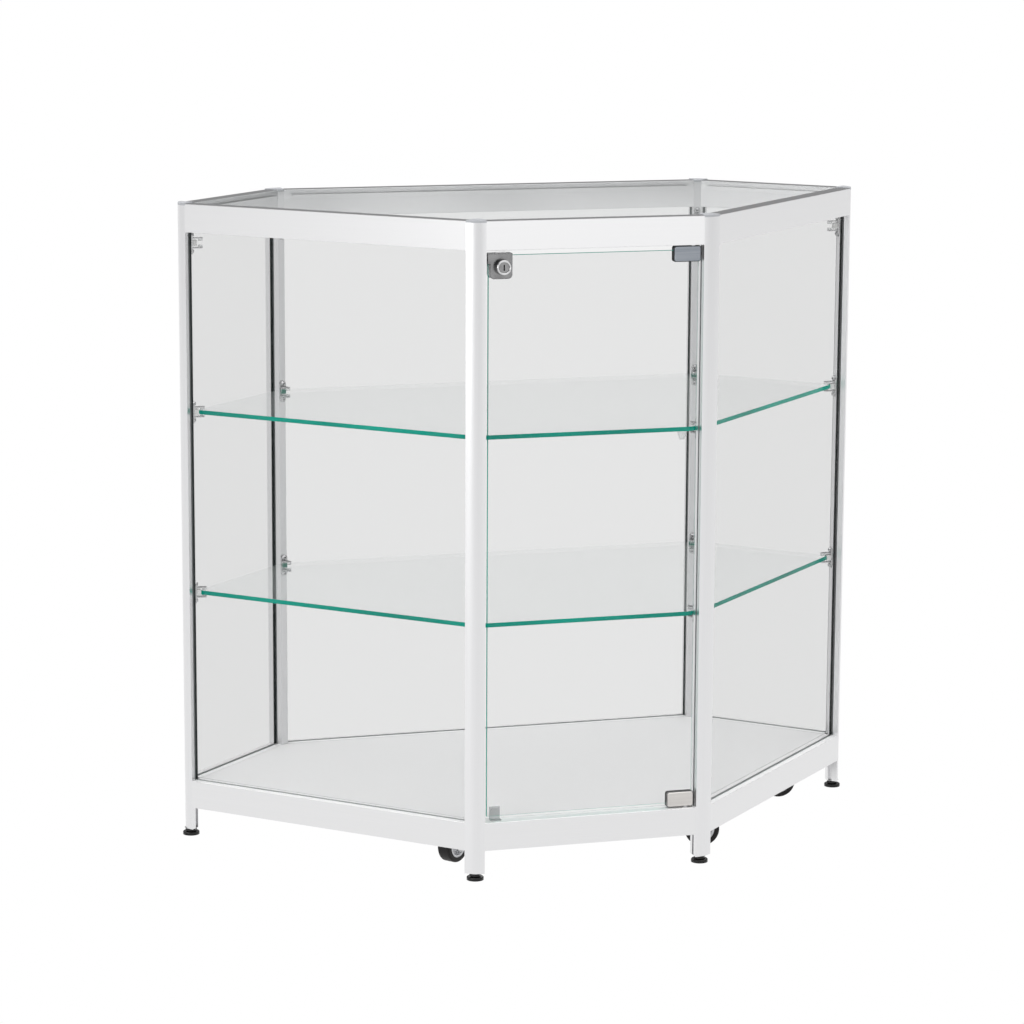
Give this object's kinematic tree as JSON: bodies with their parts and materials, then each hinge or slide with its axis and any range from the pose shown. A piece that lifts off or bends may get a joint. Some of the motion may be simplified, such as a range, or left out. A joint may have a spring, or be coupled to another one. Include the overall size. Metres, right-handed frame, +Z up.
{
  "type": "glass display counter",
  "caption": "Floor-standing corner showcase of six sides, with a framed glass body, a lockable pivoting glass door, glass shelves, levelling feet and casters.",
  "frame": {"origin": "on the floor, in the middle of the bounding box", "axes": "+Z up, door facing -Y, +X to the right when facing the door"},
  "size_m": [1.0028, 0.5276, 0.9015],
  "materials": {
    "aluminium_frame": "satin anodised",
    "cap_plastic": "grey moulded",
    "clear_glass": "clear, polished edges",
    "shelf_glass": "clear with green polished edges",
    "white_laminate": "white melamine",
    "gasket_rubber": "matte",
    "clip_steel": "nickel plated",
    "clear_plastic": "clear soft plastic",
    "white_plastic": "white moulded",
    "zinc_steel": "zinc plated",
    "clamp_metal": "satin nickel",
    "lock_chrome": "polished",
    "bolt_steel": "plain",
    "foot_plastic": "black gloss",
    "caster_rubber": "matte black",
    "hub_plastic": "light grey"
  },
  "bodies": {
    "case": {"post_left": "aluminium_frame", "post_front_left": "aluminium_frame", "post_front_right": "aluminium_frame", "post_right": "aluminium_frame", "post_back_right": "aluminium_frame", "post_back_left": "aluminium_frame", "top_rail_left_front": "aluminium_frame", "top_rail_door": "aluminium_frame", "top_rail_right_front": "aluminium_frame", "top_rail_right_back": "aluminium_frame", "top_rail_back": "aluminium_frame", "top_rail_left_back": "aluminium_frame", "bottom_rail_left_front": "aluminium_frame", "bottom_rail_door": "aluminium_frame", "bottom_rail_right_front": "aluminium_frame", "bottom_rail_right_back": "aluminium_frame", "bottom_rail_back": "aluminium_frame", "bottom_rail_left_back": "aluminium_frame", "post_caps": "cap_plastic", "side_glass_left_front": "clear_glass", "side_glass_right_front": "clear_glass", "side_glass_right_back": "clear_glass", "side_glass_back": "clear_glass", "side_glass_left_back": "clear_glass", "top_glass": "clear_glass", "shelf_upper": "shelf_glass", "shelf_lower": "shelf_glass", "base_panel": "white_laminate", "gaskets": "gasket_rubber", "clip_plates": "clip_steel", "clip_pads": "clear_plastic", "clip_blocks": "white_plastic", "clip_screws": "clip_steel", "hinge_pivots": "zinc_steel", "door_stop": "clear_plastic", "clear_bumpers": "clear_plastic", "caster_plates": "zinc_steel"},
    "door": {"door_glass": "clear_glass", "hinge_clamps": "clamp_metal", "lock_body": "lock_chrome"},
    "lock_plug": {"lock_plug": "lock_chrome"},
    "lock_bolt": {"lock_bolt": "bolt_steel"},
    "foot_left": {"foot_left": "foot_plastic"},
    "foot_front_left": {"foot_front_left": "foot_plastic"},
    "foot_front_right": {"foot_front_right": "foot_plastic"},
    "foot_right": {"foot_right": "foot_plastic"},
    "foot_back_right": {"foot_back_right": "foot_plastic"},
    "foot_back_left": {"foot_back_left": "foot_plastic"},
    "caster_front_left": {"caster_fork_front_left": "zinc_steel"},
    "wheel_front_left": {"caster_tyre_front_left": "caster_rubber", "caster_hub_front_left": "hub_plastic"},
    "caster_front_right": {"caster_fork_front_right": "zinc_steel"},
    "wheel_front_right": {"caster_tyre_front_right": "caster_rubber", "caster_hub_front_right": "hub_plastic"},
    "caster_right": {"caster_fork_right": "zinc_steel"},
    "wheel_right": {"caster_tyre_right": "caster_rubber", "caster_hub_right": "hub_plastic"},
    "caster_back_left": {"caster_fork_back_left": "zinc_steel"},
    "wheel_back_left": {"caster_tyre_back_left": "caster_rubber", "caster_hub_back_left": "hub_plastic"}
  },
  "joints": [
    {"name": "door_hinge", "type": "hinge", "parent": "case", "child": "door", "pos_m": [0.13898, -0.24426, 0.47], "axis": [0, 0, 1], "range_deg": [0, 105]},
    {"name": "lock_turn", "type": "hinge", "parent": "door", "child": "lock_plug", "pos_m": [-0.12998, -0.25476, 0.839], "axis": [0, -1, 0], "range_deg": [0, 90]},
    {"name": "bolt_slide", "type": "slide", "parent": "door", "child": "lock_bolt", "axis": [0, 0, 1], "range_m": [0, 0.007]},
    {"name": "level_left", "type": "slide", "parent": "case", "child": "foot_left", "axis": [0, 0, -1], "range_m": [0, 0.012]},
    {"name": "level_front_left", "type": "slide", "parent": "case", "child": "foot_front_left", "axis": [0, 0, -1], "range_m": [0, 0.012]},
    {"name": "level_front_right", "type": "slide", "parent": "case", "child": "foot_front_right", "axis": [0, 0, -1], "range_m": [0, 0.012]},
    {"name": "level_right", "type": "slide", "parent": "case", "child": "foot_right", "axis": [0, 0, -1], "range_m": [0, 0.012]},
    {"name": "level_back_right", "type": "slide", "parent": "case", "child": "foot_back_right", "axis": [0, 0, -1], "range_m": [0, 0.012]},
    {"name": "level_back_left", "type": "slide", "parent": "case", "child": "foot_back_left", "axis": [0, 0, -1], "range_m": [0, 0.012]},
    {"name": "swivel_front_left", "type": "hinge", "parent": "case", "child": "caster_front_left", "pos_m": [-0.179, -0.16226, 0.058], "axis": [0, 0, 1], "continuous": true},
    {"name": "roll_front_left", "type": "hinge", "parent": "caster_front_left", "child": "wheel_front_left", "pos_m": [-0.16797, -0.15364, 0.0255], "axis": [0.6157, -0.788, 0], "continuous": true},
    {"name": "swivel_front_right", "type": "hinge", "parent": "case", "child": "caster_front_right", "pos_m": [0.179, -0.16226, 0.058], "axis": [0, 0, 1], "continuous": true},
    {"name": "roll_front_right", "type": "hinge", "parent": "caster_front_right", "child": "wheel_front_right", "pos_m": [0.19246, -0.16612, 0.0255], "axis": [-0.2756, -0.9613, 0], "continuous": true},
    {"name": "swivel_right", "type": "hinge", "parent": "case", "child": "caster_right", "pos_m": [0.376, 0.05415, 0.058], "axis": [0, 0, 1], "continuous": true},
    {"name": "roll_right", "type": "hinge", "parent": "caster_right", "child": "wheel_right", "pos_m": [0.38946, 0.05029, 0.0255], "axis": [-0.2756, -0.9613, 0], "continuous": true},
    {"name": "swivel_back_left", "type": "hinge", "parent": "case", "child": "caster_back_left", "pos_m": [-0.29, 0.19376, 0.058], "axis": [0, 0, 1], "continuous": true},
    {"name": "roll_back_left", "type": "hinge", "parent": "caster_back_left", "child": "wheel_back_left", "pos_m": [-0.30073, 0.20276, 0.0255], "axis": [0.6428, 0.766, 0], "continuous": true}
  ],
  "couplings": [
    {"joint": "bolt_slide", "follows": "lock_turn", "m_per_rad": 0.0044563}
  ]
}
